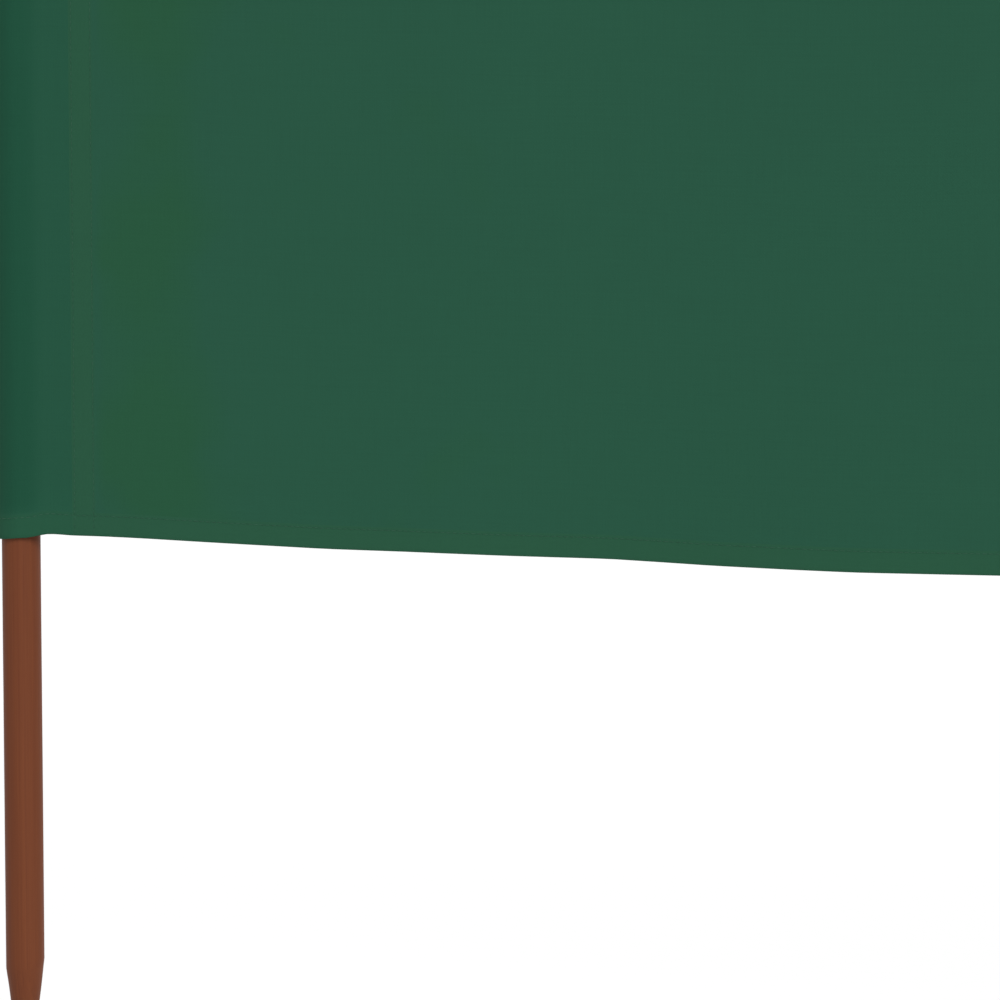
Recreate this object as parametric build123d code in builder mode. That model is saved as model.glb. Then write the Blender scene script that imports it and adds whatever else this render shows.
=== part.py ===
"""A beach windbreak: one long strip of cloth on six pointed wooden poles, standing in five bays.

The origin is the middle of the first pole's tip. X runs along the windbreak, the cloth's plain
front faces -Y, and Z points up. The poles stand in a zigzag, as they are pushed into sand.
"""

from math import acos, cos, radians, sin
import os

from build123d import *

os.makedirs("parts", exist_ok=True)

# The run of bays
BAYS = 5
BAY = 1200.0  # cloth from one pole's axis to the next
TURN = 18.0  # degrees that each bay stands off the line of the run

# Poles: round, pointed below and rounded above
POLE_D = 25.0
POLE_LEN = 1600.0
SHANK_D = 24.5  # the bare stretch that goes into the ground
SHANK_DROP = 8.0  # from the cloth's lower edge down to where the pole starts to narrow
EASE_LEN = 12.0  # the slight cone from the pole's diameter to the shank's
POINT_LEN = 67.0
TIP_D = 8.0
TOP_ROUND = 4.0

# Cloth: one layer everywhere but at the seams and the hems, which are turned in twice
CLOTH_LOW = 347.0  # lower edge above the poles' tips
CLOTH_H = 1200.0
LAYER = 0.6
HEM_H = 15.0
HEM_LAYERS = 3
SAG = 7.0  # how far both edges hang down in the middle of a bay
BOW = 12.0  # how far the cloth stands back in the middle of a bay

# Sleeves: the cloth goes round the pole and is sewn to itself beside it
SLEEVE_GAP = 0.3  # between the pole and the cloth
SEAM_REACH = 36.0  # from the pole's axis to the seam
TAB_W = 14.0  # the sewn strip beyond the seam, where two layers lie together

CLOTH_TOP = CLOTH_LOW + CLOTH_H
SHANK_TOP = CLOTH_LOW - SHANK_DROP - EASE_LEN
SLEEVE_R = POLE_D / 2 + SLEEVE_GAP
PANEL_START = SEAM_REACH + TAB_W
PANEL_END = BAY - PANEL_START
HEM_T = HEM_LAYERS * LAYER


def pole_place(number):
    """Where a pole stands. The even ones stand forward, towards the front of the cloth."""
    forward = BAY * sin(radians(TURN)) if number % 2 == 0 else 0.0
    return Vector((number - 1) * BAY * cos(radians(TURN)), -forward, 0)


def bay_heading(number):
    """The direction of a bay in plan, in degrees from X."""
    return -TURN if number % 2 == 1 else TURN


def level_plane(number, heading, height):
    """A level plane on a pole's axis, with its X along a heading."""
    along = (cos(radians(heading)), sin(radians(heading)), 0)
    return Plane(origin=pole_place(number) + Vector(0, 0, height), x_dir=along, z_dir=(0, 0, 1))


def upright_plane(number):
    """A plane that stands along a bay's chord, with its Y up and its normal to the front."""
    heading = radians(bay_heading(number))
    along = (cos(heading), sin(heading), 0)
    front = (sin(heading), -cos(heading), 0)
    return Plane(origin=pole_place(number), x_dir=along, z_dir=front)


def teardrop(plane, radius, apex, tab_thickness=0.0):
    """A sleeve's outline in plan: round the pole, straight to the seam, and on as the tab."""
    touch = acos(radius / apex)
    side_x = radius * cos(touch)
    side_y = radius * sin(touch)
    with BuildSketch(plane) as outline:
        with BuildLine():
            Line((apex, 0), (side_x, side_y))
            ThreePointArc((side_x, side_y), (-radius, 0), (side_x, -side_y))
            Line((side_x, -side_y), (apex, 0))
        make_face()
        if tab_thickness:
            with Locations((SEAM_REACH + TAB_W / 2, 0)):
                Rectangle(TAB_W, tab_thickness)
    return outline.sketch


def cloth_band(plane, front, back):
    """A bay's cloth in plan: two like arcs between the tabs, a layer or a hem apart."""
    middle = BAY / 2
    with BuildSketch(plane) as band:
        with BuildLine():
            ThreePointArc((PANEL_START, front), (middle, front + BOW), (PANEL_END, front))
            Line((PANEL_END, front), (PANEL_END, back))
            ThreePointArc((PANEL_END, back), (middle, back + BOW), (PANEL_START, back))
            Line((PANEL_START, back), (PANEL_START, front))
        make_face()
    return band.sketch


def sagging_face(plane, low, high):
    """A bay's cloth seen from the front, between two edges that hang down alike."""
    middle = BAY / 2
    with BuildSketch(plane) as face:
        with BuildLine():
            ThreePointArc((PANEL_START, low), (middle, low - SAG), (PANEL_END, low))
            Line((PANEL_END, low), (PANEL_END, high))
            ThreePointArc((PANEL_END, high), (middle, high - SAG), (PANEL_START, high))
            Line((PANEL_START, high), (PANEL_START, low))
        make_face()
    return face.sketch


def sewn_cloth(number, low, high, back):
    """A bay's cloth between two heights, with its front face flush with the tabs' front layer."""
    level = level_plane(number, bay_heading(number), low - SAG)
    upright = upright_plane(number)
    with BuildPart() as cloth:
        extrude(cloth_band(level, -LAYER, back), high - low + SAG)
        extrude(sagging_face(upright, low, high), BAY / 2, both=True, mode=Mode.INTERSECT)
    return cloth


# Poles
for number in range(1, BAYS + 2):
    place = pole_place(number)
    with BuildPart() as pole:
        with BuildSketch(Plane(origin=place, x_dir=(1, 0, 0), z_dir=(0, -1, 0))):
            with BuildLine():
                Polyline(
                    (POLE_D / 2 - TOP_ROUND, POLE_LEN),
                    (0, POLE_LEN),
                    (0, 0),
                    (TIP_D / 2, 0),
                    (SHANK_D / 2, POINT_LEN),
                    (SHANK_D / 2, SHANK_TOP),
                    (POLE_D / 2, SHANK_TOP + EASE_LEN),
                    (POLE_D / 2, POLE_LEN - TOP_ROUND),
                )
                RadiusArc(
                    (POLE_D / 2, POLE_LEN - TOP_ROUND),
                    (POLE_D / 2 - TOP_ROUND, POLE_LEN),
                    -TOP_ROUND,
                )
            make_face()
        revolve(axis=Axis(place, (0, 0, 1)))
    pole.part.label = f"pole_{number}"
    export_step(pole.part, f"parts/pole_{number}.step")

# Sleeves: a strip's end wraps its pole from one side, and a middle pole has a bay on each side
for number in range(1, BAYS + 2):
    headings = []
    if number <= BAYS:
        headings.append(bay_heading(number))
    if number > 1:
        headings.append(bay_heading(number - 1) + 180)
    taper = SLEEVE_R / SEAM_REACH  # the sine of the angle at which the layers close on the seam
    stretches = (
        (CLOTH_LOW, CLOTH_H, LAYER),
        (CLOTH_LOW, HEM_H, HEM_T),
        (CLOTH_TOP - HEM_H, HEM_H, HEM_T),
    )
    with BuildPart() as sleeve:
        for heading in headings:
            for low, height, wall in stretches:
                level = level_plane(number, heading, low)
                outline = teardrop(level, SLEEVE_R + wall, SEAM_REACH + wall / taper, 2 * wall)
                extrude(outline, height)
        for heading in headings:
            level = level_plane(number, heading, CLOTH_LOW)
            extrude(teardrop(level, SLEEVE_R, SEAM_REACH), CLOTH_H, mode=Mode.SUBTRACT)
    sleeve.part.label = f"sleeve_{number}"
    export_step(sleeve.part, f"parts/sleeve_{number}.step")

# Bays: a single layer between two hems
for number in range(1, BAYS + 1):
    panel = sewn_cloth(number, CLOTH_LOW + HEM_H, CLOTH_TOP - HEM_H, 0)
    panel.part.label = f"panel_{number}"
    export_step(panel.part, f"parts/panel_{number}.step")

    bottom_hem = sewn_cloth(number, CLOTH_LOW, CLOTH_LOW + HEM_H, HEM_T - LAYER)
    bottom_hem.part.label = f"bottom_hem_{number}"
    export_step(bottom_hem.part, f"parts/bottom_hem_{number}.step")

    top_hem = sewn_cloth(number, CLOTH_TOP - HEM_H, CLOTH_TOP, HEM_T - LAYER)
    top_hem.part.label = f"top_hem_{number}"
    export_step(top_hem.part, f"parts/top_hem_{number}.step")
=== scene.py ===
"""The looks of a beach windbreak: plain green cloth in sewn bays on pointed, brown-stained poles.

Everything is in metres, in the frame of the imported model. Each bay of cloth runs from the seam
beside one pole to the seam beside the next, with both edges turned in twice and sewn. The ends
of the cloth wrap their poles and are sewn behind the bay as a tab. Behind each middle pole a
pocket strip is sewn on, with a tab at either side.
"""

import functools
import math

import bpy
import numpy as np
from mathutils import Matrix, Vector


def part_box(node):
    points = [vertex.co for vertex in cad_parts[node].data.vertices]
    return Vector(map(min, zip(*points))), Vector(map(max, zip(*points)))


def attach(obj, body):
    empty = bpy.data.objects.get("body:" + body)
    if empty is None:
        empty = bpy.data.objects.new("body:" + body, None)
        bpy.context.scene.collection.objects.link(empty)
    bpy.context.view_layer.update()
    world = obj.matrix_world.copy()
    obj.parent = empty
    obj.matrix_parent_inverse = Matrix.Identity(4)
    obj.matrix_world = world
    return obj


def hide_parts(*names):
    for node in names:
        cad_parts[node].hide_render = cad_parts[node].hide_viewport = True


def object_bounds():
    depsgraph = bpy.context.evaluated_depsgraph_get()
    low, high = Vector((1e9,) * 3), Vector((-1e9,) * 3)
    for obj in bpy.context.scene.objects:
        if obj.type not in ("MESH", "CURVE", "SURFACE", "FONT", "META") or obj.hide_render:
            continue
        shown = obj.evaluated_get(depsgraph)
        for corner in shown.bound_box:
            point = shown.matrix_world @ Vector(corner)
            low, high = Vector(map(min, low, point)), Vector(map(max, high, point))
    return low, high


bl_info = {
    "name": "Beach windbreak",
    "version": (1, 0, 0),
    "blender": (4, 5, 0),
    "location": "View3D > Sidebar > Windbreak",
    "description": "Makes the cloth, seams and poles of a beach windbreak",
    "category": "Add Mesh",
}

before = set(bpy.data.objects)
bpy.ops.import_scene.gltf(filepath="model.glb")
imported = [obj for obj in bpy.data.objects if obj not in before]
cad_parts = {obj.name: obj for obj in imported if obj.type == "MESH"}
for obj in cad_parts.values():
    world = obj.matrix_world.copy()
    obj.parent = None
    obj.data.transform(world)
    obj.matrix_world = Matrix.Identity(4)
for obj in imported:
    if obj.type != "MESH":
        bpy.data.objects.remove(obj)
CAD_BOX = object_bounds()

MM = 0.001
BODY = "root"
POLES = sum(name.startswith("pole_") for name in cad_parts)
BAYS = POLES - 1
CLOTH_LOW, CLOTH_TOP = (corner.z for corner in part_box("sleeve_1"))
CLOTH_HEIGHT = CLOTH_TOP - CLOTH_LOW
POLE_R = (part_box("pole_1")[1].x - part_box("pole_1")[0].x) / 2
POLE_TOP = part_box("pole_1")[1].z


# Sizes and colours


def linear(hex_colour):
    """An sRGB hex colour as the linear RGBA that the shaders work in."""
    channels = [int(hex_colour[i : i + 2], 16) / 255 for i in (1, 3, 5)]
    return [c / 12.92 if c <= 0.04045 else ((c + 0.055) / 1.055) ** 2.4 for c in channels] + [1.0]


def scalar(name, description, default, **kind):
    """A number, of the kind that its unit or subtype says."""
    return bpy.props.FloatProperty(name=name, description=description, default=default, **kind)


def metres(name, description, default):
    """A size in metres."""
    return scalar(name, description, default, min=0.0, precision=5, unit="LENGTH")


def srgb(name, description, hex_colour):
    """A colour, given as it looks."""
    kind = {"default": linear(hex_colour), "size": 4, "subtype": "COLOR", "min": 0.0, "max": 1.0}
    return bpy.props.FloatVectorProperty(name=name, description=description, **kind)


class WindbreakCloth(bpy.types.PropertyGroup):
    """Sizes and colours of the cloth."""

    layer: metres("Layer", "Thickness of one layer of cloth", 0.45 * MM)
    hem_height: metres("Hem height", "Height of the turned-in edges", 15 * MM)
    seam_reach: metres("Seam reach", "From a pole's axis to the seam beside it", 36 * MM)
    tab_width: metres("Tab width", "The sewn edge beyond the seam", 16.5 * MM)
    inset: metres("Inset", "From a fold or seam to its stitches", 1.8 * MM)
    sleeve_gap: metres("Sleeve gap", "Between the pole and the cloth round it", 0.95 * MM)
    end_slack: metres("End slack", "How much looser an end sleeve's outer side is", 3.2 * MM)
    sag: metres("Sag", "How far the edges hang down in the middle of a bay", 7 * MM)
    bow: metres("Bow", "How far the cloth stands back in the middle of a bay", 12 * MM)
    fold_depth: metres("Fold depth", "Depth of the soft folds", 17 * MM)
    weave: metres("Weave", "From one thread to the next but one", 0.9 * MM)
    colour: srgb("Cloth", "A single layer of cloth", "#255742")
    # Painted shade: the cloth's colour where the pole's shadow falls through a single layer.
    over_pole: srgb("Over a pole", "A single layer with the pole close behind", "#184D38")
    layered: srgb("Layered", "Several layers, as in hems and seams", "#275840")
    warmer: srgb("Warmer dye", "A single layer where the dye took warmer", "#24573C")


class WindbreakStitches(bpy.types.PropertyGroup):
    """Sizes and colour of the sewing thread."""

    pitch: metres("Pitch", "From one stitch to the next", 4.0 * MM)
    length: metres("Stitch", "Length of one stitch", 3.4 * MM)
    thread: metres("Thread", "Diameter of the thread", 0.4 * MM)
    proud: metres("Proud", "How far a stitch's middle stands out of the cloth", 0.08 * MM)
    colour: srgb("Thread colour", "Sewing thread", "#295B44")


class WindbreakPoles(bpy.types.PropertyGroup):
    """Sizes and colours of the poles."""

    point: metres("Point", "Length of the turned point", 67.2 * MM)
    point_skew: metres("Point skew", "How much higher the point starts at one side", 3 * MM)
    shank: metres("Shank", "Radius of the pole just above its point", 12.38 * MM)
    tip: metres("Tip", "Radius of the blunt tip", 4 * MM)
    top_round: metres("Top round", "Radius of the rounded top edge", 4 * MM)
    dark: srgb("Dark grain", "Stained wood where the grain takes more stain", "#68351E")
    pale: srgb("Pale grain", "Stained wood between the dark streaks", "#7A4225")


class WindbreakStage(bpy.types.PropertyGroup):
    """The camera and the light."""

    distance: metres("Distance", "From the camera to the plane of the first pole", 2.94679)
    aside: metres("Aside", "From the first pole's axis to the camera, to the right", 0.30859)
    height: metres("Height", "Of the camera above the poles' tips", 0.6471)
    pitch: scalar("Pitch", "How far the camera looks down", math.radians(5.386), subtype="ANGLE")
    lens: scalar("Lens", "Focal length in millimetres", 165.46)
    daylight: scalar("Daylight", "Strength of the even light from all round", 0.44)
    key: scalar("Key", "Power of the lamp in front, in watts", 1400.0)
    behind: scalar("Behind", "Power of the lamp behind, in watts", 1190.0)
    lamp_size: metres("Lamp size", "Diameter of the two round lamps", 8.0)


def add_node(tree, kind, inputs=None, **settings):
    """Adds a node with its settings, gives its inputs values or links, and returns its outputs.

    An input that is given all of a node's outputs is linked to the first.
    """
    node = tree.nodes.new(kind)
    for name, value in settings.items():
        setattr(node, name, value)
    for name, value in (inputs or {}).items():
        if isinstance(value, bpy.types.bpy_prop_collection):
            value = value[0]
        if isinstance(value, bpy.types.NodeSocket):
            tree.links.new(value, node.inputs[name])
        else:
            node.inputs[name].default_value = value
    return node.outputs


def with_nodes(made):
    """Clears the nodes of a material or world, and returns it with the function that adds some."""
    made.use_nodes = True
    made.node_tree.nodes.clear()
    return made, functools.partial(add_node, made.node_tree)


def calculate(add, operation, *values):
    """Adds a node of arithmetic on numbers or on what other nodes give."""
    return add("ShaderNodeMath", dict(enumerate(values)), operation=operation)


def add_object(name, data):
    """Puts a mesh, a lamp or the camera in the scene."""
    made = bpy.data.objects.new(name, data)
    bpy.context.scene.collection.objects.link(made)
    return made


def add_piece(mesh, material, crease):
    """Puts a smooth mesh in the scene, with sharp edges from an angle of crease degrees."""
    mesh.shade_smooth()
    mesh.set_sharp_from_angle(angle=math.radians(crease))
    mesh.materials.append(material)
    mesh.validate()
    return add_object(mesh.name, mesh)


# Places along the windbreak


def pole_axis(number):
    """Where a pole's axis stands in plan."""
    low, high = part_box(f"pole_{number}")
    return np.array([(low.x + high.x) / 2, (low.y + high.y) / 2])


def heading(start, end):
    """The unit direction from one pole to another, in plan."""
    step = pole_axis(end) - pole_axis(start)
    return step / np.linalg.norm(step)


def quarter_left(direction):
    """A direction turned a quarter to the left, in plan."""
    return np.array([-direction[1], direction[0]])


def bay_span(number):
    """The distance between the axes of a bay's two poles."""
    return np.linalg.norm(pole_axis(number + 1) - pole_axis(number))


def smooth(low, high, value):
    """0 up to low, 1 from high, and a smooth rise between them."""
    share = np.clip((value - low) / (high - low), 0.0, 1.0)
    return share * share * (3 - 2 * share)


# The cloth's grid: rows run up from the lower edge, and columns from seam to seam

GRID_SPACING = 14 * MM  # between rows and between columns, away from hems and seams
FOLD_RISE = 0.6 * MM  # how far a fold's rounding stands beyond the last row
LOW_ROWS = (FOLD_RISE, 2.8 * MM, 7 * MM)  # the rows in the lower part of a hem
STEP_BELOW, STEP_ABOVE = 0.4 * MM, 0.2 * MM  # rows that keep the step at a hem's edge sharp
HIGH_ROWS = (6 * MM, 13 * MM)  # the last close rows, above a hem
PAST_TAB = 6 * MM  # the last close column, beyond a tab's edge
SEAM_COLUMNS = (2, 5)  # the columns that a seam's two lines of stitches run along
TAB_COLUMNS = 7  # the columns that the tab behind a bay's end covers


def row_heights(cloth):
    """Heights of the rows above the lower edge, closer together in the hems."""
    steps = (-2 * cloth.inset, -cloth.inset, -STEP_BELOW, 0, STEP_ABOVE, cloth.inset, *HIGH_ROWS)
    near = [*LOW_ROWS, *(cloth.hem_height + step for step in steps)]
    far = near[-1] + GRID_SPACING
    middle = np.arange(far, CLOTH_HEIGHT - near[-1] - GRID_SPACING / 2, GRID_SPACING)
    return np.concatenate([near, middle, [CLOTH_HEIGHT - height for height in reversed(near)]])


def stitch_rows(cloth):
    """The indices of the two rows that the hems are sewn along."""
    rows = row_heights(cloth)
    lower = int(np.argmin(np.abs(rows - (cloth.hem_height - cloth.inset))))
    return lower, len(rows) - 1 - lower


def tab_reaches(cloth):
    """Distances from a seam to the columns of its tab."""
    inset, tab = cloth.inset, cloth.tab_width
    return [inset / 2, inset, 2 * inset, tab / 2, tab - inset, tab]


def column_reaches(cloth, number):
    """Distances of a bay's columns from its first pole's axis, closer together at the seams."""
    near = np.array([0, *tab_reaches(cloth), cloth.tab_width + PAST_TAB])
    start = cloth.seam_reach
    end = bay_span(number) - cloth.seam_reach
    count = round((end - start - 2 * near[-1]) / GRID_SPACING) + 1
    middle = np.linspace(start + near[-1], end - near[-1], count)
    return np.concatenate([start + near[:-1], middle, end - near[-2::-1]])


def hem_share(cloth, rows, ease=STEP_ABOVE):
    """1 in the turned-in edges and 0 on the single layer, easing over a distance above the hem."""
    edge = np.minimum(rows, CLOTH_HEIGHT - rows)
    return 1 - smooth(cloth.hem_height, cloth.hem_height + ease, edge)


def grid_normals(points):
    """Unit normals of a grid of points: forward, where the columns run to the right."""
    normals = np.cross(np.gradient(points, axis=0), np.gradient(points, axis=1))
    return normals / np.linalg.norm(normals, axis=2, keepdims=True)


def cloth_faces(cloth, rows, middle, normals):
    """The front and back of a cloth's grid: one layer thick, and three in the turned-in edges.

    The grid is the middle of the front layer.
    """
    behind = cloth.layer / 2 + 2 * cloth.layer * hem_share(cloth, rows)
    return middle + normals * (cloth.layer / 2), middle - normals * behind[:, None]


# The hang of the cloth

CALM_REACH = 0.62  # how far from its first pole the first bay hangs almost smooth
CALM_EASE, CALM_LEAN, CALM_SHARE = 0.28, 0.3, 0.92  # its soft end, its slant, and how smooth it is
HELD_EASE = 0.10  # from a tab's edge to where folds have their full depth

EDGE_SEED = 70
EDGE_WAVES = (2, 3, 5)  # half waves in the unevenness of a bay's upper or lower edge
EDGE_EASE = 0.12  # share of a bay over which they rise from nothing at its seams

FOLD_SEED = 40
HANGING_FOLDS = 5  # in each bay
HANGING_MARGIN = 0.10  # share of a bay that they leave free at either end
HANGING_FADE, HANGING_POWER = 0.65, 1.3  # how much they lose up to the upper edge, and how soon
CORNER_FOLDS = 3  # from each corner of a bay
CORNER_START = 0.07  # from the corner to where one has risen
CORNER_WIDTH, CORNER_SPREAD = 0.018, 0.09  # at the corner, and what each metre adds

# The first bay's lower edge, in millimetres: distance from the pole, and height over an even sag
FIRST_EDGE = (
    (36, 0.37), (55, 0.83), (82, 0.98), (137, 0.60), (206, 0.27), (259, 1.01),
    (326, 1.24), (392, 2.00), (431, 1.10), (458, 0.37), (509, -0.16), (548, -0.35),
    (586, 0.20), (648, 0.97), (760, 0.30), (900, 0.00), (1164, 0.00),
)
# A sleeve's lower edge, in millimetres: distance along the bay from the pole's axis, and height
SLEEVE_EDGE = (
    (-14.0, -2.20), (-7.7, -2.05), (-1.6, -1.55), (3.8, -1.00), (8.0, -0.95), (10.5, -0.65),
    (13.5, 0.05), (17.0, 0.80), (20.5, 1.40), (23.0, 1.50), (27.5, 1.20), (36.0, 0.37),
)


def bay_share(cloth, number, reach):
    """How far along a bay a place is: 0 at its first seam and 1 at its last."""
    return (reach - cloth.seam_reach) / (bay_span(number) - 2 * cloth.seam_reach)


def even_curve(cloth, number, reach):
    """A parabola along a bay: 0 at its seams and 1 in its middle."""
    share = bay_share(cloth, number, reach)
    return 4 * share * (1 - share)


def through_points(points, places, window=7, samples=300):
    """Heights at some places along a soft line through points, which are in millimetres."""
    along, heights = MM * np.array(points).T
    fine = np.linspace(along[0], along[-1], samples)
    kernel = np.hanning(window)
    padded = np.pad(np.interp(fine, along, heights), window // 2, mode="edge")
    return np.interp(places, fine, np.convolve(padded, kernel / kernel.sum(), mode="valid"))


def edge_wave(cloth, number, reach, upper):
    """The small unevenness of a bay's upper or lower edge."""
    if number == 1 and not upper:
        return through_points(FIRST_EDGE, reach)
    rng = np.random.default_rng(EDGE_SEED + 2 * number + upper)
    share = bay_share(cloth, number, reach)
    wave = np.zeros_like(reach)
    for waves in EDGE_WAVES:
        rise = rng.uniform(0.2, 0.8) * MM
        wave += rise * np.sin(math.pi * waves * share + rng.uniform(0, 2 * math.pi))
    return wave * smooth(0, EDGE_EASE, share) * smooth(0, EDGE_EASE, 1 - share)


def hanging_folds(rng, span, reach, rows):
    """Folds under the upper edge, out and back in turn, which deepen towards the lower one.

    A fold's rise is a share of the fold depth, and its lean is sideways for each metre up.
    """
    depth = np.zeros(reach.shape)
    hang = 1 - HANGING_FADE + HANGING_FADE * (1 - rows / CLOTH_HEIGHT) ** HANGING_POWER
    for index in range(HANGING_FOLDS):
        place = (index + rng.uniform(0.2, 0.8)) / HANGING_FOLDS
        foot = span * (HANGING_MARGIN + (1 - 2 * HANGING_MARGIN) * place)
        lean = rng.uniform(-0.25, 0.25)
        width = rng.uniform(0.05, 0.12)
        rise = rng.uniform(0.35, 1.0) * (1 if index % 2 else -1)
        depth += rise * hang * np.exp(-(((reach - foot - lean * rows) / width) ** 2))
    return depth


def corner_folds(rng, span, reach, rows):
    """Folds that run out from the four corners, where the cloth is pulled between the poles.

    Their angles are up from level, in radians.
    """
    depth = np.zeros(reach.shape)
    for corner_reach in (0.0, span):
        for corner_height in (0.0, CLOTH_HEIGHT):
            out = np.abs(reach - corner_reach)
            away = np.abs(rows - corner_height)
            for angle in rng.uniform(0.4, 1.1, CORNER_FOLDS):
                along = out * math.cos(angle) + away * math.sin(angle)
                aside = out * math.sin(angle) - away * math.cos(angle)
                width = CORNER_WIDTH + CORNER_SPREAD * along
                rise = rng.uniform(-0.5, 0.5)
                length = rng.uniform(0.22, 0.42)
                fade = np.exp(-((along / length) ** 2)) * (1 - np.exp(-((along / CORNER_START) ** 2)))
                depth += rise * fade * np.exp(-((aside / width) ** 2))
    return depth


def bay_folds(cloth, number, reach, rows):
    """How far a bay's soft folds stand back, over its columns and rows."""
    span = bay_span(number)
    rng = np.random.default_rng(FOLD_SEED + number)
    depth = hanging_folds(rng, span, reach, rows) + corner_folds(rng, span, reach, rows)
    free = np.minimum(reach, span - reach) - cloth.seam_reach - cloth.tab_width
    held = smooth(0, HELD_EASE, free)
    if number == 1:
        calm = 1 - smooth(CALM_REACH, CALM_REACH + CALM_EASE, reach + CALM_LEAN * rows)
        held = held * (1 - CALM_SHARE * calm)
    return cloth.fold_depth * depth * held


def bay_grid(cloth, number):
    """A bay's grid: columns, rows, and the front layer's middle with its forward normals."""
    columns = column_reaches(cloth, number)
    rows = row_heights(cloth)
    reach, height = np.meshgrid(columns, rows, indexing="ij")
    along = heading(number, number + 1)
    belly = even_curve(cloth, number, reach)
    low = edge_wave(cloth, number, reach, False)
    top = edge_wave(cloth, number, reach, True)
    depth = cloth.bow * belly + bay_folds(cloth, number, reach, height) - cloth.layer / 2
    middle = np.empty(reach.shape + (3,))
    reach, depth = reach[..., None], depth[..., None]
    middle[..., :2] = pole_axis(number) + along * reach + quarter_left(along) * depth
    middle[..., 2] = CLOTH_LOW + height - cloth.sag * belly + low + (top - low) * height / CLOTH_HEIGHT
    return columns, rows, middle, grid_normals(middle)


# Sleeves

STRAIGHT_POINTS = 9  # of a sleeve's path, from the pole to the seam
ROUND_STEP = 1.6 * MM  # between its points round the pole
HEM_SWELL = 14 * MM  # how far over a hem its sleeve narrows back to the single layer
SLEEVE_WINDOW = 15  # how softly its lower edge runs
OWN_EDGE = (20 * MM, 36 * MM)  # where that edge goes over into a bay's own
TOP_SHARE = -0.7  # of the lower edge's heights, at the upper edge
TAB_RISE = 0.6 * MM  # how much higher a tab's lower edge is than the bay's
END_SHADE = 0.52  # how much of the pole's painted shade an end sleeve's loose cloth has
MIDDLE_SHADE = 0.2  # how much painted shade a middle sleeve's loose cloth has, where light comes in from both bays
HEM_SHADE = 0.4  # and how much painted shade a sleeve's hems have at most, where three layers hide the pole
PAINTED_SHADE_FADE = (0.1 * MM, 7 * MM)  # how far off its pole the cloth is where the painted shade fades
MEETING = 2 * MM  # before a seam, where a sleeve's layers have met


def half_path(cloth, number, other, behind):
    """Half of a sleeve's path in plan, relative to its pole's axis: from the pole out to the seam.

    The path starts where the cloth leaves the pole, and runs towards the bay's other pole. Behind
    the bay it goes on beyond the seam as the tab, which follows the bay's cloth.
    """
    along = heading(number, other)
    bay = min(number, other)
    back = quarter_left(heading(bay, bay + 1))
    side = back if behind else -back
    radius = POLE_R + cloth.sleeve_gap + cloth.layer / 2
    touch = math.acos(radius / cloth.seam_reach)
    leave = radius * (math.cos(touch) * along + math.sin(touch) * side)
    seam = cloth.seam_reach * along + cloth.layer / 2 * side
    path = [leave + (seam - leave) * share for share in np.linspace(0, 1, STRAIGHT_POINTS)]
    if behind:
        for out in tab_reaches(cloth):
            depth = cloth.bow * even_curve(cloth, bay, cloth.seam_reach + out)
            path.append(seam + along * out + side * depth)
    return np.array(path)


def round_pole(start, end):
    """Points round the pole to the left from start to end, leaving both out."""
    radius = np.linalg.norm(start)
    first = math.atan2(start[1], start[0])
    sweep = (math.atan2(end[1], end[0]) - first) % (2 * math.pi)
    count = max(3, round(sweep * radius / ROUND_STEP))
    angles = first + sweep * np.arange(1, count) / count
    return np.stack([radius * np.cos(angles), radius * np.sin(angles)], axis=1)


def slacken(cloth, path, along):
    """Lets an end sleeve stand off the outer side of its pole, away from the bay."""
    outward = np.maximum(path @ -along, 0)
    return path - np.outer(outward, along) * cloth.end_slack / (POLE_R + cloth.sleeve_gap)


def sleeve_paths(cloth, number):
    """The paths of a pole's sleeve: one round an end pole, or the front layer and the pocket.

    Each path runs so that its outer face is on its right, and comes with whether its first and
    its last end are tabs.
    """

    def half(other, behind):
        return half_path(cloth, number, other, behind)

    def joined(first, last):
        return np.concatenate([first[::-1], round_pole(first[0], last[0]), last])

    left, right = number - 1, number + 1
    if number == 1:
        path = joined(half(right, True), half(right, False))
        return [(slacken(cloth, path, heading(number, right)), (True, False))]
    if number == POLES:
        path = joined(half(left, False), half(left, True))
        return [(slacken(cloth, path, heading(number, left)), (False, True))]
    front = joined(half(left, False), half(right, False))
    pocket = joined(half(right, True), half(left, True))
    return [(front, (False, False)), (pocket, (True, True))]


def sleeve_edge(number, path):
    """Heights of a sleeve's lower edge, which meets a bay's own at the seam."""
    bays = [heading(number, other) for other in (number - 1, number + 1) if 0 < other <= POLES]
    across = np.max([path @ bay for bay in bays], axis=0)
    low = through_points(SLEEVE_EDGE, across, SLEEVE_WINDOW)
    if number > 1:
        low -= SLEEVE_EDGE[-1][1] * MM * smooth(*OWN_EDGE, across)
    return low


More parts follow.
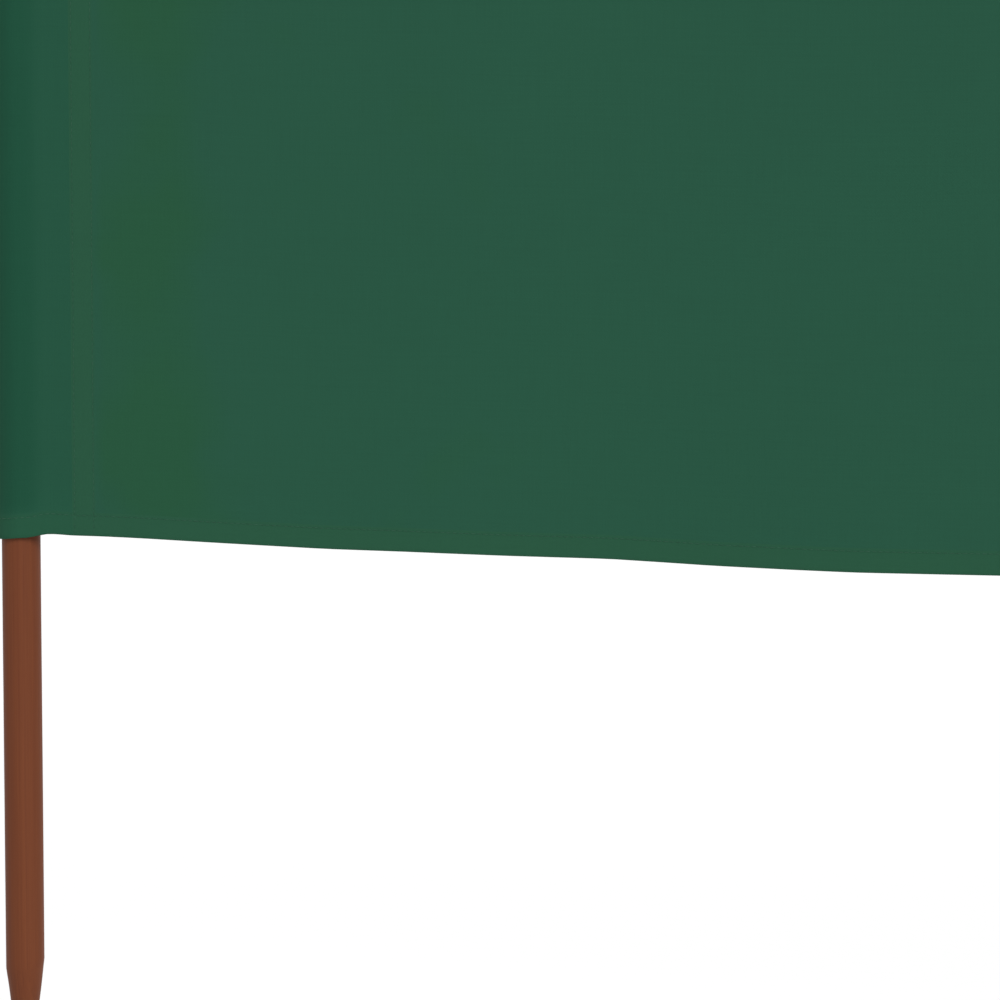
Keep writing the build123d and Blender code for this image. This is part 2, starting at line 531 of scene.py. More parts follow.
def sleeve_grid(cloth, number, path, tab_ends):
    """A sleeve's grid: path lengths, rows, the outer layer's middle, its normals, and two shares.

    The shares are how much painted shade the pole puts on the cloth, most where the cloth touches it,
    and how fully it is a tab.
    """
    rows = row_heights(cloth)
    lengths = np.concatenate([[0.0], np.cumsum(np.linalg.norm(np.diff(path, axis=0), axis=1))])
    along = np.gradient(path, axis=0)
    out = np.stack([along[:, 1], -along[:, 0]], axis=1)
    out /= np.linalg.norm(out, axis=1, keepdims=True)
    from_axis = np.linalg.norm(path, axis=1)
    radius = from_axis.min()
    beyond = smooth(radius, cloth.seam_reach - MEETING, from_axis)
    on_back = np.where(np.arange(len(path)) < len(path) // 2, *tab_ends).astype(float)
    bulge = 2 * cloth.layer * (1 - beyond) + 4 * cloth.layer * beyond * on_back
    swell = bulge[:, None] * hem_share(cloth, rows, HEM_SWELL)
    low = sleeve_edge(number, path)
    top = TOP_SHARE * low
    low = low + TAB_RISE * beyond * on_back
    share = rows / CLOTH_HEIGHT
    middle = np.empty((len(path), len(rows), 3))
    middle[..., :2] = pole_axis(number) + path[:, None] + out[:, None] * swell[..., None]
    middle[..., 2] = CLOTH_LOW + rows + low[:, None] * (1 - share) + top[:, None] * share
    # Painted shade of the pole behind the cloth: full where the cloth lies on the pole, and fading
    # further off to a lighter level, lightest in the middle sleeves.
    loose = END_SHADE if number in (1, POLES) else MIDDLE_SHADE
    painted_shade = loose + (1 - loose) * (1 - smooth(*PAINTED_SHADE_FADE, from_axis - radius))
    tab = (beyond == 1) * on_back
    return lengths, rows, middle, grid_normals(middle), painted_shade, tab


# Meshes

CLOTH_CREASE, WOOD_CREASE = 50, 40  # the angles from which their edges stay sharp, in degrees
SEAM_HALO = (-3 * MM, 4 * MM, 44 * MM, 94 * MM)  # past a tab: where the warmer dye comes and goes
PULL_REACH = 16 * MM  # how far the puckers run from a seam or an edge
SHADE_EASE = 3 * MM  # above a hem, until the pole's painted shade is at full strength


def fold_over(start, end, rise):
    """The points of a round fold from one edge to another, as a grid of three along each column."""
    middle, half = (start + end) / 2, (start - end) / 2
    turns = [(math.cos(angle), math.sin(angle)) for angle in np.radians([45, 90, 135])]
    return np.stack([middle + half * out + np.array([0, 0, rise * up]) for out, up in turns], axis=1)


def sheet_faces(index, rows, fold):
    """The faces of a closed sheet: bands between its rings, and a cap at either end.

    A ring of points goes up the front's rows, round a fold, down the back and round a fold.
    """
    here, there = index[:-1], index[1:]
    quads = np.stack([here, there, np.roll(there, -1, axis=1), np.roll(here, -1, axis=1)], axis=2)
    faces = quads.reshape(-1, 4).tolist()
    for end in (0, -1):
        ring = index[end].tolist()
        front, back = ring[:rows], ring[rows + fold : 2 * rows + fold][::-1]
        cap = [[front[j], front[j + 1], back[j + 1], back[j]] for j in range(rows - 1)]
        cap.append([front[-1], *ring[rows : rows + fold], back[-1]])
        cap.append([back[0], *ring[-fold:], front[0]])
        faces += cap if end == 0 else [face[::-1] for face in cap]
    return faces


def sheet_mesh(name, faces, widths, heights, values):
    """A closed mesh between its front and back faces, folded over at its lower and upper edges.

    widths and heights are the columns' and rows' places on the flat cloth, for the UV map, and
    values holds attributes by name, as grids over columns and rows.
    """
    front, back = faces
    over = fold_over(front[:, -1], back[:, -1], FOLD_RISE)
    under = fold_over(back[:, 0], front[:, 0], -FOLD_RISE)
    rings = np.concatenate([front, over, back[:, ::-1], under], axis=1)
    shape, fold = front.shape[:2], over.shape[1]

    def round_rings(grid):
        grid = np.broadcast_to(grid, shape)
        low, top = grid[:, :1].repeat(fold, 1), grid[:, -1:].repeat(fold, 1)
        return np.concatenate([grid, top, grid[:, ::-1], low], axis=1).astype(np.float32).ravel()

    mesh = bpy.data.meshes.new(name)
    index = np.arange(rings[..., 0].size).reshape(rings.shape[:2])
    mesh.from_pydata(rings.reshape(-1, 3).tolist(), [], sheet_faces(index, shape[1], fold))
    corners = np.empty(len(mesh.loops), dtype=np.int32)
    mesh.loops.foreach_get("vertex_index", corners)
    uv = np.stack([round_rings(widths[:, None]), round_rings(heights)], axis=1)
    mesh.uv_layers.new(name="cloth").data.foreach_set("uv", uv[corners].ravel())
    for label, grid in values.items():
        mesh.attributes.new(label, "FLOAT", "POINT").data.foreach_set("value", round_rings(grid))
    return mesh


def cloth_values(cloth, rows, painted_shade, layered, from_seam):
    """The attributes that the cloth's material reads, as grids."""
    edge = np.minimum(rows, CLOTH_HEIGHT - rows)
    in_hem = hem_share(cloth, rows, SHADE_EASE)
    past_tab = from_seam - cloth.tab_width
    return {
        # Painted shade where the pole lies behind the cloth, held lower in the hems.
        "over_pole": painted_shade * (1 - in_hem) + np.minimum(painted_shade, HEM_SHADE) * in_hem,
        "layers": np.maximum(hem_share(cloth, rows), layered),
        "beside_seam": smooth(*SEAM_HALO[:2], past_tab) * (1 - smooth(*SEAM_HALO[2:], past_tab)),
        "seam_pull": np.exp(-np.abs(from_seam) / PULL_REACH),
        "hem_pull": np.exp(-edge / PULL_REACH),
    }


def add_sheet(cloth, name, grid, values):
    """Adds a piece of cloth on a grid, and attaches it to the body that holds it."""
    widths, rows, middle, normals = grid
    material = bpy.data.materials.get(CLOTH_FINISH) or cloth_material(cloth)
    mesh = sheet_mesh(name, cloth_faces(cloth, rows, middle, normals), widths, rows, values)
    piece = add_piece(mesh, material, CLOTH_CREASE)
    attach(piece, BODY)
    return piece


class WINDBREAK_OT_add_bays(bpy.types.Operator):
    """Add each bay's cloth, with its soft folds and its two turned-in edges"""

    bl_idname = "windbreak.add_bays"
    bl_label = "Add bays"

    def execute(self, context):
        cloth = context.scene.windbreak_cloth
        for number in range(1, BAYS + 1):
            grid = bay_grid(cloth, number)
            columns, rows, _, _ = grid
            from_seam = np.minimum(columns, bay_span(number) - columns)[:, None] - cloth.seam_reach
            on_tab = (from_seam < cloth.tab_width).astype(float)
            values = cloth_values(cloth, rows, 0.0, on_tab, from_seam)
            piece = add_sheet(cloth, f"bay_cloth_{number}", grid, values)
            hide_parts(f"panel_{number}", f"bottom_hem_{number}", f"top_hem_{number}")
        return {"FINISHED"}


class WINDBREAK_OT_add_sleeves(bpy.types.Operator):
    """Add the sleeves that hold the cloth on its poles"""

    bl_idname = "windbreak.add_sleeves"
    bl_label = "Add sleeves"

    def execute(self, context):
        cloth = context.scene.windbreak_cloth
        for number in range(1, POLES + 1):
            for path, tab_ends in sleeve_paths(cloth, number):
                *grid, painted_shade, tab = sleeve_grid(cloth, number, path, tab_ends)
                lengths, rows, _, _ = grid
                from_seam = np.linalg.norm(path, axis=1)[:, None] - cloth.seam_reach
                values = cloth_values(cloth, rows, painted_shade[:, None], tab[:, None], from_seam)
                name = f"{'pocket' if all(tab_ends) else 'sleeve'}_cloth_{number}"
                piece = add_sheet(cloth, name, grid, values)
                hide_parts(f"sleeve_{number}")
        return {"FINISHED"}


# Stitches

SLEEVE_SEED = 20  # added to a pole's number, so that its stitches differ from a bay's


def stitch_tree(stitches, material):
    """Geometry nodes that lay a stitch on every pitch of the lines they are given."""
    tree = bpy.data.node_groups.new("Stitches along lines", "GeometryNodeTree")
    add = functools.partial(add_node, tree)
    tree.interface.new_socket("Lines", in_out="INPUT", socket_type="NodeSocketGeometry")
    tree.interface.new_socket("Seed", in_out="INPUT", socket_type="NodeSocketInt")
    tree.interface.new_socket("Stitches", in_out="OUTPUT", socket_type="NodeSocketGeometry")
    given = add("NodeGroupInput")
    curves = add("GeometryNodeMeshToCurve", {"Mesh": given["Lines"]})
    spaced = {"Curve": curves, "Length": stitches.pitch}
    points = add("GeometryNodeCurveToPoints", spaced, mode="LENGTH")
    ball = add("GeometryNodeMeshUVSphere", {"Segments": 4, "Rings": 4, "Radius": 0.5})
    rounded = add("GeometryNodeSetShadeSmooth", {"Geometry": ball})
    size = (stitches.thread, stitches.thread, stitches.length)
    stitch = add("GeometryNodeTransform", {"Geometry": rounded, "Scale": size})
    out = add("GeometryNodeInputNamedAttribute", {"Name": "face_out"}, data_type="FLOAT_VECTOR")
    lengthwise = add("FunctionNodeAlignRotationToVector", {"Vector": points["Tangent"]}, axis="Z")
    upright = {"Rotation": lengthwise, "Vector": out}
    upright = add("FunctionNodeAlignRotationToVector", upright, axis="X", pivot_axis="Z")
    pulled = {"Min": (0.9, 0.9, 0.88), "Max": (1.1, 1.1, 1.06), "Seed": given["Seed"]}
    pulled = add("FunctionNodeRandomValue", pulled, data_type="FLOAT_VECTOR")
    laid = {"Points": points, "Instance": stitch, "Rotation": upright, "Scale": pulled}
    laid = add("GeometryNodeInstanceOnPoints", laid)
    real = add("GeometryNodeRealizeInstances", {"Geometry": laid})
    sewn = add("GeometryNodeSetMaterial", {"Geometry": real, "Material": material})
    add("NodeGroupOutput", {"Stitches": sewn})
    return tree


def sew(context, name, tree, lines, seed):
    """Makes one piece of the stitches along some lines, each of points and outward directions."""
    points, outs = (np.concatenate(parts) for parts in zip(*lines))
    starts = set(np.cumsum([len(line) for line, _ in lines]).tolist())
    edges = [(index - 1, index) for index in range(1, len(points)) if index not in starts]
    mesh = bpy.data.meshes.new(f"{name}_lines")
    mesh.from_pydata(points.tolist(), edges, [])
    attribute = mesh.attributes.new("face_out", "FLOAT_VECTOR", "POINT")
    attribute.data.foreach_set("vector", outs.astype(np.float32).ravel())
    piece = add_object(name, mesh)
    modifier = piece.modifiers.new("Stitches", "NODES")
    modifier.node_group = tree
    modifier[tree.interface.items_tree["Seed"].identifier] = seed
    context.view_layer.update()
    depsgraph = context.evaluated_depsgraph_get()
    made = bpy.data.meshes.new_from_object(
        piece.evaluated_get(depsgraph), preserve_all_data_layers=True, depsgraph=depsgraph
    )
    if not made.polygons:
        raise RuntimeError(f"{name} has no stitches")
    piece.modifiers.remove(modifier)
    piece.data = made
    bpy.data.meshes.remove(mesh)
    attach(piece, BODY)


def on_face(face, outward, where, proud):
    """A line on a cloth face: points a little proud of it, and the directions out of it."""
    return face[where] + outward[where] * proud, outward[where]


def bay_lines(cloth, number, proud):
    """The lines of stitches of a bay: along both hems, before and behind, and down its seams."""
    _, rows, middle, normals = bay_grid(cloth, number)
    front, back = cloth_faces(cloth, rows, middle, normals)
    between_tabs = slice(TAB_COLUMNS, -TAB_COLUMNS)
    lines = []
    for row in stitch_rows(cloth):
        lines.append(on_face(front, normals, (slice(None), row), proud))
        lines.append(on_face(back, -normals, (between_tabs, row), proud))
    for column in (*SEAM_COLUMNS, *(-1 - column for column in SEAM_COLUMNS)):
        lines.append(on_face(front, normals, (column, slice(1, -1)), proud))
    return lines


def sleeve_lines(cloth, number, proud):
    """The lines of stitches of a pole's sleeve: round both its hems, and down its tabs."""
    # A sleeve's first columns run from its tab's edge to the seam, and its last ones back again.
    first = [TAB_COLUMNS - 1 - column for column in reversed(SEAM_COLUMNS)]
    last = [-1 - column for column in first]
    lines = []
    for path, tab_ends in sleeve_paths(cloth, number):
        _, rows, middle, normals, _, _ = sleeve_grid(cloth, number, path, tab_ends)
        front, _ = cloth_faces(cloth, rows, middle, normals)
        for row in stitch_rows(cloth):
            lines.append(on_face(front, normals, (slice(None), row), proud))
        for column in (first if tab_ends[0] else []) + (last if tab_ends[1] else []):
            lines.append(on_face(front, normals, (column, slice(1, -1)), proud))
    return lines


class WINDBREAK_OT_add_stitches(bpy.types.Operator):
    """Add the stitches along every hem and seam"""

    bl_idname = "windbreak.add_stitches"
    bl_label = "Add stitches"

    def execute(self, context):
        cloth = context.scene.windbreak_cloth
        stitches = context.scene.windbreak_stitches
        tree = stitch_tree(stitches, thread_material(stitches))
        for number in range(1, BAYS + 1):
            lines = bay_lines(cloth, number, stitches.proud)
            sew(context, f"bay_stitches_{number}", tree, lines, number)
        for number in range(1, POLES + 1):
            lines = sleeve_lines(cloth, number, stitches.proud)
            sew(context, f"sleeve_stitches_{number}", tree, lines, SLEEVE_SEED + number)
        return {"FINISHED"}


# Poles

SIDES = 64
TIP_RINGS = ((0.7 * MM, 0.0), (0.2 * MM, 0.25 * MM), (0.0, 0.9 * MM))  # in from its radius, and up
POINT_SHARES = np.linspace(0.06, 1.0, 14)  # where the point's rings lie along it
SHANK_START = 3 * MM  # over the point
SHANK_END = 8 * MM  # under the cloth, where the pole has its full width
HIDDEN_END, HEAD_START, HEAD_END = 80 * MM, 70 * MM, 5 * MM  # under the pole's top
SHANK_SPACING, HIDDEN_SPACING, HEAD_SPACING = 13 * MM, 50 * MM, 8 * MM
ROUND_ANGLES = np.linspace(0, math.pi / 2, 7)  # where the rounded top edge's rings lie
FLAT_SHARES = (0.7, 0.35)  # and those on the flat top
POLE_SEED = 10
UNEVEN_WAVES = 5  # in how far a pole is from round
UNEVEN = 0.045 * MM  # height of one
UNEVEN_AT_TOP, UNEVEN_EASE = 0.2, 6 * MM  # how much of it is left at the top, and how soon
TURN = 6.28
SKEW_EASE = 10 * MM  # how far from the point's start its skew reaches
TIP_ASIDE, ASIDE_ANGLE = 0.9 * MM, 2.6  # how far the tip is off the axis, and which way


def pole_profile(poles):
    """A pole's radius and height, from its tip to its top."""
    full_width = CLOTH_LOW - SHANK_END
    profile = [(poles.tip - inward, height) for inward, height in TIP_RINGS]
    for share in POINT_SHARES:
        profile.append((poles.tip + (poles.shank - poles.tip) * share, poles.point * share))
    for height in np.arange(poles.point + SHANK_START, full_width, SHANK_SPACING):
        profile.append((np.interp(height, [poles.point, full_width], [poles.shank, POLE_R]), height))
    hidden = np.arange(CLOTH_LOW, POLE_TOP - HIDDEN_END, HIDDEN_SPACING)
    head = np.arange(POLE_TOP - HEAD_START, POLE_TOP - HEAD_END, HEAD_SPACING)
    profile += [(POLE_R, height) for height in (*hidden, *head)]
    flat = POLE_R - poles.top_round
    for angle in ROUND_ANGLES:
        height = POLE_TOP - poles.top_round + poles.top_round * math.sin(angle)
        profile.append((flat + poles.top_round * math.cos(angle), height))
    return profile + [(share * flat, POLE_TOP) for share in FLAT_SHARES]


def pole_rings(poles, number):
    """The rings of a turned pole: not quite round, with its point a little askew."""
    rng = np.random.default_rng(POLE_SEED + number)
    angles = 2 * math.pi * np.arange(SIDES) / SIDES
    skew = poles.point_skew * (1 if number == 1 else rng.uniform(0.5, 1.0))
    skew_angle = 0.0 if number == 1 else rng.uniform(0, 2 * math.pi)
    # Each wave has a count round the pole, and a pitch along it in radians a metre.
    waves = [
        (rng.integers(2, 5), rng.uniform(0, TURN), rng.uniform(5, 14), rng.uniform(0, TURN))
        for _ in range(UNEVEN_WAVES)
    ]
    rings = []
    for radius, height in pole_profile(poles):
        near_start = math.exp(-(((height - poles.point) / SKEW_EASE) ** 2))
        uneven = sum(
            np.sin(count * angles + phase) * math.sin(pitch * height + start)
            for count, phase, pitch, start in waves
        )
        out = radius + UNEVEN * uneven * min(1.0, (POLE_TOP - height) / UNEVEN_EASE + UNEVEN_AT_TOP)
        aside = TIP_ASIDE * (1 - min(height / poles.point, 1.0))
        x = out * np.cos(angles) + aside * math.cos(skew_angle + ASIDE_ANGLE)
        y = out * np.sin(angles) + aside * math.sin(skew_angle + ASIDE_ANGLE)
        z = height + skew * np.cos(angles - skew_angle) * near_start
        rings.append(np.stack([x, y, z], axis=1))
    return np.array(rings)


def pole_mesh(poles, number):
    """A closed mesh through a pole's rings, with a fan of faces at its tip and on its top."""
    rings = pole_rings(poles, number)
    rings[..., :2] += pole_axis(number)
    points = np.concatenate([rings.reshape(-1, 3), rings[:1].mean(axis=1), rings[-1:].mean(axis=1)])
    tip, top = len(points) - 2, len(points) - 1
    index = np.arange(len(rings) * SIDES).reshape(len(rings), SIDES)
    here, above = index[:-1], index[1:]
    quads = np.stack([here, np.roll(here, -1, axis=1), np.roll(above, -1, axis=1), above], axis=2)
    faces = quads.reshape(-1, 4).tolist()
    lowest, highest = index[0].tolist(), index[-1].tolist()
    faces += [[lowest[side], lowest[side - 1], tip] for side in range(SIDES)]
    faces += [[highest[side - 1], highest[side], top] for side in range(SIDES)]
    mesh = bpy.data.meshes.new(f"pole_wood_{number}")
    mesh.from_pydata(points.tolist(), [], faces)
    return mesh


class WINDBREAK_OT_add_poles(bpy.types.Operator):
    """Add the round wooden poles with their turned points"""

    bl_idname = "windbreak.add_poles"
    bl_label = "Add poles"

    def execute(self, context):
        poles = context.scene.windbreak_poles
        material = wood_material(poles)
        for number in range(1, POLES + 1):
            piece = add_piece(pole_mesh(poles, number), material, WOOD_CREASE)
            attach(piece, BODY)
            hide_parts(f"pole_{number}")
        return {"FINISHED"}


# Materials

CLOTH_FINISH = "woven_polyester_green"
SHARE, FIRST, SECOND, MIXED = 0, 6, 7, 2  # the sockets of a mix of colours


def streaks(add, place, size, detail, roughness=0.5):
    """Noise between 0 and 1 in patches of about this size, in metres along the axes of the place."""
    scale = tuple(1 / length for length in size)
    drawn_out = add("ShaderNodeMapping", {"Vector": place, "Scale": scale})
    noise = {"Vector": drawn_out, "Scale": 1.0, "Detail": detail, "Roughness": roughness}
    return add("ShaderNodeTexNoise", noise)


def wave_scale(length):
    """The scale at which a wave texture repeats at this length in metres."""
    return 2 * math.pi / 20 / length


def end_with(add, surface):
    """Adds the surface itself, and makes it what the material shows."""
    add("ShaderNodeOutputMaterial", {"Surface": add("ShaderNodeBsdfPrincipled", surface)})


def cloth_colour(add, cloth, yarn, attributes):
    """The dyed cloth: a little uneven, duller where more layers lie behind its face, and with painted
    shade where the pole lies close behind.
    """
    # Dye takes a little unevenly, in patches some 10 to 20 cm across.
    coords = add("ShaderNodeTexCoord")["Object"]
    dye = add("ShaderNodeTexNoise", {"Vector": coords, "Scale": 6.0, "Detail": 2.0})
    patchy = calculate(add, "MULTIPLY_ADD", dye, 0.05, 0.925)
    lightness = calculate(add, "MULTIPLY_ADD", yarn, 0.05, patchy)
    # Some patches are a shade warmer, and so is most of the cloth up to about 10 cm from a seam.
    warm = {"Vector": coords, "W": 6.5, "Scale": 7.0, "Detail": 3.0}
    warm = add("ShaderNodeTexNoise", warm, noise_dimensions="4D")
    warm = calculate(add, "MULTIPLY_ADD", attributes["beside_seam"], 0.16, warm)
    warm = add("ShaderNodeMapRange", {"Value": warm, "From Min": 0.58, "From Max": 0.74})
    colour = list(cloth.colour)
    for share, second in (
        (warm, cloth.warmer),
        (attributes["layers"], cloth.layered),
        # painted shade of the pole behind a single layer
        (attributes["over_pole"], cloth.over_pole),
    ):
        blend = {SHARE: share, FIRST: colour, SECOND: list(second)}
        colour = add("ShaderNodeMix", blend, data_type="RGBA")[MIXED]
    return add("ShaderNodeHueSaturation", {"Color": colour, "Value": lightness})


def cloth_normal(add, cloth, uv, yarn, attributes):
    """The small relief of the cloth: puckers, uneven yarn and the weave."""
    # Puckers: shallow gathers about a centimetre apart that run away from a line of stitches.
    pulls = []
    for size, pull in (((60 * MM, 9 * MM, 1), "seam_pull"), ((9 * MM, 60 * MM, 1), "hem_pull")):
        gathers = streaks(add, uv, size, 0.0)
        pulls.append(calculate(add, "MULTIPLY", gathers, attributes[pull]))
    puckers = calculate(add, "ADD", *pulls)
    # Real threads of such cloth lie about 0.35 mm apart, too fine to show, so they are drawn wider.
    turns = 2 * math.pi / cloth.weave
    place = add("ShaderNodeSeparateXYZ", {"Vector": uv})
    threads = []
    for axis in ("X", "Y"):
        threads.append(calculate(add, "SINE", calculate(add, "MULTIPLY", place[axis], turns)))
    weave = calculate(add, "MULTIPLY", *threads)
    normal = {}
    for height, depth, strength in (
        (puckers, 0.5 * MM, 0.5),
        (yarn, 0.05 * MM, 0.6),
        (weave, 0.04 * MM, 0.6),
    ):
        relief = {"Height": height, "Distance": depth, "Strength": strength, **normal}
        normal = {"Normal": add("ShaderNodeBump", relief)}
    return normal["Normal"]


def cloth_material(cloth):
    """Plain-woven polyester, dyed green.

    The eye sees a dull, even face with a faint fine grain, which puckers a little along its seams and
    hems. Painted shade darkens it a little where the pole lies close behind a single layer.
    """
    material, add = with_nodes(bpy.data.materials.new(CLOTH_FINISH))
    uv = add("ShaderNodeUVMap", uv_map="cloth")
    attributes = {
        name: add("ShaderNodeAttribute", attribute_name=name)["Fac"]
        for name in ("over_pole", "layers", "beside_seam", "seam_pull", "hem_pull")
    }
    # Uneven yarn: streaks a thread or two wide that run a few centimetres along warp and weft.
    warp = streaks(add, uv, (1.3 * MM, 45 * MM, 1), 1.0)
    weft = streaks(add, uv, (60 * MM, 1.5 * MM, 1), 1.0)
    yarn = calculate(add, "ADD", warp, weft)
    surface = {
        "Base Color": cloth_colour(add, cloth, yarn, attributes),
        "Normal": cloth_normal(add, cloth, uv, yarn, attributes),
        "Roughness": 0.78,
        "IOR": 1.5,
        "Specular IOR Level": 0.15,
        "Sheen Weight": 0.02,
        "Sheen Roughness": 0.5,
    }
    end_with(add, surface)
    return material


def thread_material(stitches):
    """Twisted polyester thread, dyed to match, and a little glossier than the cloth."""
    material, add = with_nodes(bpy.data.materials.new("twisted_polyester_thread"))
    coords = add("ShaderNodeTexCoord")["Object"]
    # The two plies turn once in about 0.8 mm.
    twist = {"Vector": coords, "Scale": wave_scale(0.8 * MM), "Distortion": 1.0}
    twist = add("ShaderNodeTexWave", twist, bands_direction="DIAGONAL")["Fac"]
    lightness = calculate(add, "MULTIPLY_ADD", twist, 0.16, 0.92)
    colour = add("ShaderNodeHueSaturation", {"Color": list(stitches.colour), "Value": lightness})
    surface = {"Base Color": colour, "Roughness": 0.55, "IOR": 1.5, "Specular IOR Level": 0.4}
    end_with(add, surface)
    return material


def wood_material(poles):
    """Softwood, turned and stained reddish brown.

    The eye sees satin brown with faint darker streaks that run along the pole, the soft stripes of
    growth rings, and a fine drawn-out grain.
    """
    material, add = with_nodes(bpy.data.materials.new("stained_softwood"))
    coords = add("ShaderNodeTexCoord")["Object"]
    # Pores and fibres are 0.9 mm wide and 7 cm long here, and the stain's streaks 4 mm and 25 cm.
    fibres = streaks(add, coords, (0.9 * MM, 0.9 * MM, 70 * MM), 2.0, 0.6)
    stain = streaks(add, coords, (4 * MM, 4 * MM, 250 * MM), 2.0, 0.6)
    # Growth rings lie about 3 mm apart, and show as long stripes on the turned side.
    turned = {"Vector": coords, "Rotation": (0.0, 0.0, math.radians(35)), "Scale": (1, 1, 0.02)}
    turned = add("ShaderNodeMapping", turned)
    rings = {"Vector": turned, "Scale": wave_scale(3 * MM)}
    rings |= {"Distortion": 3.0, "Detail": 2.0, "Detail Scale": 0.6}
    rings = add("ShaderNodeTexWave", rings, bands_direction="X", wave_profile="SAW")["Fac"]
    pale = 0.0
    for pattern, low, high, weight in (
        (fibres, 0.3, 0.7, 0.38),
        (stain, 0.25, 0.75, 0.34),
        (rings, 0.0, 1.0, 0.28),
    ):
        spread = add("ShaderNodeMapRange", {"Value": pattern, "From Min": low, "From Max": high})
        pale = calculate(add, "MULTIPLY_ADD", spread, weight, pale)
    colour = {SHARE: pale, FIRST: list(poles.dark), SECOND: list(poles.pale)}
    relief = {"Height": pale, "Distance": 0.12 * MM, "Strength": 0.6}
    surface = {
        "Base Color": add("ShaderNodeMix", colour, data_type="RGBA")[MIXED],
        "Normal": add("ShaderNodeBump", relief),
        "Roughness": add("ShaderNodeMapRange", {"Value": fibres, "To Min": 0.5, "To Max": 0.68}),
        "IOR": 1.5,
        "Specular IOR Level": 0.2,
    }
    end_with(add, surface)
    return material


# The stage

WHITE = linear("#FFFFFF")
FLOOR_HALF = 150.0
PAPER_GLOW = 1.06  # strength of the floor's white
WHITE_SHARE = 0.9  # how much of the floor's look is that white, while the rest takes the shadow
SENSOR_WIDTH = 36.0  # in millimetres
VIEW_END = 500.0  # from the camera
MIDDLE = Vector(((CAD_BOX[0].x + CAD_BOX[1].x) / 2, 0.0, POLE_TOP / 2))
LAMP_PLACES = {"key": (2.2, -10.0, 9.2), "behind": (-2.2, 10.0, 8.0)}  # from the middle


def seen_as_white(add):
    """1 for a ray that comes from the camera, a reflection or a clear surface, and 0 for light."""
    path = add("ShaderNodeLightPath")
    share = path["Is Camera Ray"]
    for other in ("Is Glossy Ray", "Is Transmission Ray"):
        share = calculate(add, "MAXIMUM", path[other], share)
    return share


def floor_material():
    """Matte white paper: seen as the white ground, with a faint shadow of what stands on it."""
    material, add = with_nodes(bpy.data.materials.new("white_paper_floor"))
    paper = add("ShaderNodeBsdfDiffuse", {"Color": linear("#C9C9C9")})
    glow = add("ShaderNodeEmission", {"Color": WHITE, "Strength": PAPER_GLOW})
    share = calculate(add, "MULTIPLY", seen_as_white(add), WHITE_SHARE)
    look = add("ShaderNodeMixShader", {0: share, 1: paper, 2: glow})
    add("ShaderNodeOutputMaterial", {"Surface": look})
    return material


def studio_world(daylight):
    """Even light from all round, seen as white."""
    world, add = with_nodes(bpy.data.worlds.new("studio"))
    even = add("ShaderNodeBackground", {"Color": WHITE, "Strength": daylight})
    white = add("ShaderNodeBackground", {"Color": WHITE, "Strength": 1.0})
    sky = add("ShaderNodeMixShader", {0: seen_as_white(add), 1: even, 2: white})
    add("ShaderNodeOutputWorld", {"Surface": sky})
    return world


def add_floor():
    """Adds a wide level floor."""
    mesh = bpy.data.meshes.new("floor")
    corners = [(FLOOR_HALF * x, FLOOR_HALF * y, 0) for x, y in ((-1, -1), (1, -1), (1, 1), (-1, 1))]
    mesh.from_pydata(corners, [], [(0, 1, 2, 3)])
    mesh.materials.append(floor_material())
    floor = add_object("floor", mesh)


def add_lamps(stage):
    """Adds a large round lamp before the windbreak and one behind it, both facing its middle."""
    for name, place in LAMP_PLACES.items():
        lamp = bpy.data.lights.new(name, "AREA")
        lamp.shape = "DISK"
        lamp.size = stage.lamp_size
        lamp.energy = getattr(stage, name)
        holder = add_object(name, lamp)
        holder.location = MIDDLE + Vector(place)
        holder.rotation_euler = (-Vector(place)).to_track_quat("-Z", "Y").to_euler()


def add_camera(stage):
    """Adds the camera, which looks along the first bay's plane from the right of its first pole."""
    camera = bpy.data.cameras.new("camera")
    camera.lens = stage.lens
    camera.sensor_width = SENSOR_WIDTH
    camera.clip_end = VIEW_END
    holder = add_object("camera", camera)
    holder.location = (stage.aside, -stage.distance, stage.height)
    holder.rotation_euler = (math.pi / 2 - stage.pitch, 0, 0)
    bpy.context.scene.camera = holder


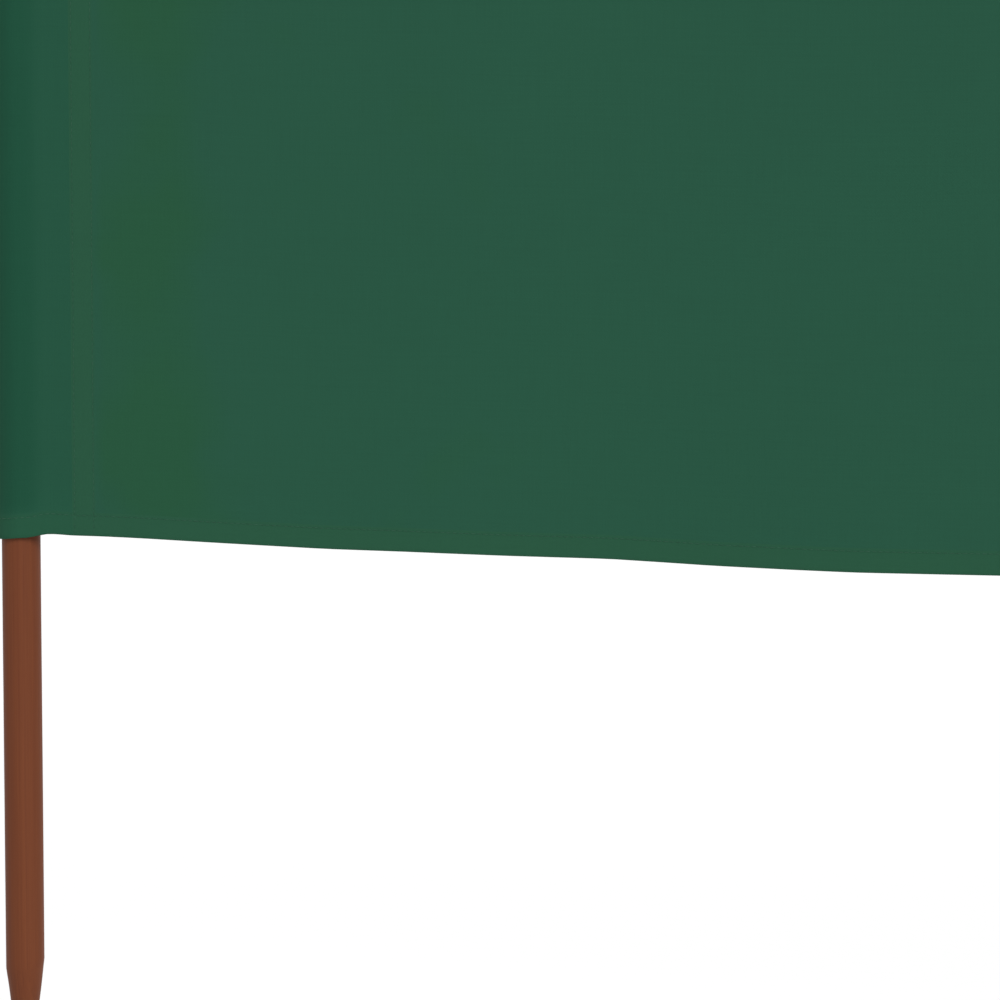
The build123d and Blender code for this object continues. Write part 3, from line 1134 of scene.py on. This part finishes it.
class WINDBREAK_OT_add_stage(bpy.types.Operator):
    """Add the floor, the light and the camera"""

    bl_idname = "windbreak.add_stage"
    bl_label = "Add stage"

    def execute(self, context):
        stage = context.scene.windbreak_stage
        context.scene.view_settings.view_transform = "Standard"
        context.scene.world = studio_world(stage.daylight)
        add_floor()
        add_lamps(stage)
        add_camera(stage)
        return {"FINISHED"}


class WINDBREAK_PT_panel(bpy.types.Panel):
    """Lists the windbreak's sizes, colours and pieces"""

    bl_idname = "WINDBREAK_PT_panel"
    bl_label = "Windbreak"
    bl_space_type = "VIEW_3D"
    bl_region_type = "UI"
    bl_category = "Windbreak"

    def draw(self, context):
        for name, (group, operators) in GROUPS.items():
            box = self.layout.box()
            box.label(text=group.__name__.removeprefix("Windbreak"))
            for setting in group.__annotations__:
                box.prop(getattr(context.scene, name), setting)
            for operator in operators:
                box.operator(operator)


# Each group's name in the scene, with the operators that read it
GROUPS = {
    "windbreak_poles": (WindbreakPoles, ["windbreak.add_poles"]),
    "windbreak_cloth": (WindbreakCloth, ["windbreak.add_bays", "windbreak.add_sleeves"]),
    "windbreak_stitches": (WindbreakStitches, ["windbreak.add_stitches"]),
    "windbreak_stage": (WindbreakStage, ["windbreak.add_stage"]),
}
CLASSES = (
    *(group for group, _ in GROUPS.values()),
    WINDBREAK_OT_add_poles,
    WINDBREAK_OT_add_bays,
    WINDBREAK_OT_add_sleeves,
    WINDBREAK_OT_add_stitches,
    WINDBREAK_OT_add_stage,
    WINDBREAK_PT_panel,
)


def register():
    for cls in CLASSES:
        bpy.utils.register_class(cls)
    for name, (group, _) in GROUPS.items():
        setattr(bpy.types.Scene, name, bpy.props.PointerProperty(type=group))


def unregister():
    for name in GROUPS:
        delattr(bpy.types.Scene, name)
    for cls in reversed(CLASSES):
        bpy.utils.unregister_class(cls)


def main():
    register()
    bpy.ops.windbreak.add_stage()
    bpy.ops.windbreak.add_poles()
    bpy.ops.windbreak.add_bays()
    bpy.ops.windbreak.add_sleeves()
    bpy.ops.windbreak.add_stitches()


if __name__ == "__main__":
    main()
